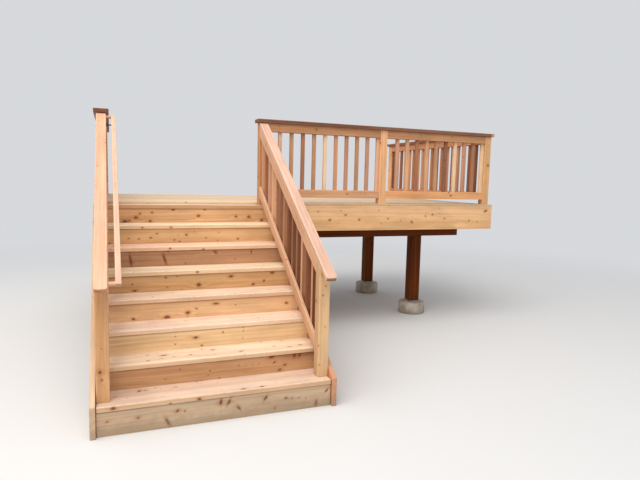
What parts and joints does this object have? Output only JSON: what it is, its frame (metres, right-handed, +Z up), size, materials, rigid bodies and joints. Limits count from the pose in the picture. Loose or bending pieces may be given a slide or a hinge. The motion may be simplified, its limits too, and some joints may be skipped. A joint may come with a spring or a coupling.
{
  "type": "wooden deck with stairs",
  "caption": "Raised wooden deck on posts and piers with a straight flight of closed wooden steps, baluster railings, cap rails and a grab rail.",
  "frame": {"origin": "at ground level, under the middle of the bounding box", "axes": "+X along the front of the deck to the right, +Y from the foot of the steps to the back of the deck, +Z up"},
  "size_m": [4.744, 4.602, 2.405],
  "materials": {
    "tread_cedar": "new planed cedar plank, satin",
    "riser_cedar": "new planed cedar board, satin",
    "skirt_cedar": "new planed cedar plank, satin",
    "post_cedar": "new planed cedar post, satin",
    "cap_cedar": "new planed cedar cap, satin",
    "rail_cedar": "new planed cedar rail, satin",
    "baluster_cedar": "new planed cedar square, satin",
    "decking_cedar": "new cedar decking board, satin",
    "rim_cedar": "new planed cedar plank, satin",
    "frame_timber": "sawn softwood framing, matt",
    "dark_cap": "dark red-brown stained board, satin",
    "dark_beam": "dark red-brown stained heavy timber, matt",
    "bracket_iron": "dark painted rod",
    "shoe_steel": "galvanised plate, dull",
    "pier_concrete": "tan cast concrete, rough"
  },
  "bodies": {
    "root": {"tread_1": "tread_cedar", "tread_2": "tread_cedar", "tread_3": "tread_cedar", "tread_4": "tread_cedar", "tread_5": "tread_cedar", "tread_6": "tread_cedar", "tread_7": "tread_cedar", "riser_1": "riser_cedar", "riser_2": "riser_cedar", "riser_3": "riser_cedar", "riser_4": "riser_cedar", "riser_5": "riser_cedar", "riser_6": "riser_cedar", "riser_7": "riser_cedar", "riser_8": "riser_cedar", "deck_nosing": "tread_cedar", "skirt_left": "skirt_cedar", "skirt_right": "skirt_cedar", "carriages": "frame_timber", "newel_left": "post_cedar", "newel_right": "post_cedar", "stair_cap_left": "cap_cedar", "stair_cap_right": "cap_cedar", "stair_rails_left": "rail_cedar", "stair_rails_right": "rail_cedar", "stair_balusters_left": "baluster_cedar", "stair_balusters_right": "baluster_cedar", "grab_rail": "cap_cedar", "grab_rail_bracket": "bracket_iron", "head_post_left": "post_cedar", "head_post_right": "post_cedar", "front_post": "post_cedar", "corner_post": "post_cedar", "rear_post_left": "post_cedar", "rear_post_right": "post_cedar", "deck_cap_front": "dark_cap", "deck_cap_left": "dark_cap", "deck_cap_right": "dark_cap", "deck_rails_front": "rail_cedar", "deck_rails_left": "rail_cedar", "deck_rails_right": "rail_cedar", "deck_balusters_front": "baluster_cedar", "deck_balusters_left": "baluster_cedar", "deck_balusters_right": "baluster_cedar", "decking": "decking_cedar", "rim_front": "rim_cedar", "rim_left": "rim_cedar", "rim_right": "rim_cedar", "stair_header": "frame_timber", "ledger": "frame_timber", "joists": "frame_timber", "beams": "dark_beam", "beam_posts": "dark_beam", "post_shoes": "shoe_steel", "piers": "pier_concrete"}
  },
  "joints": []
}
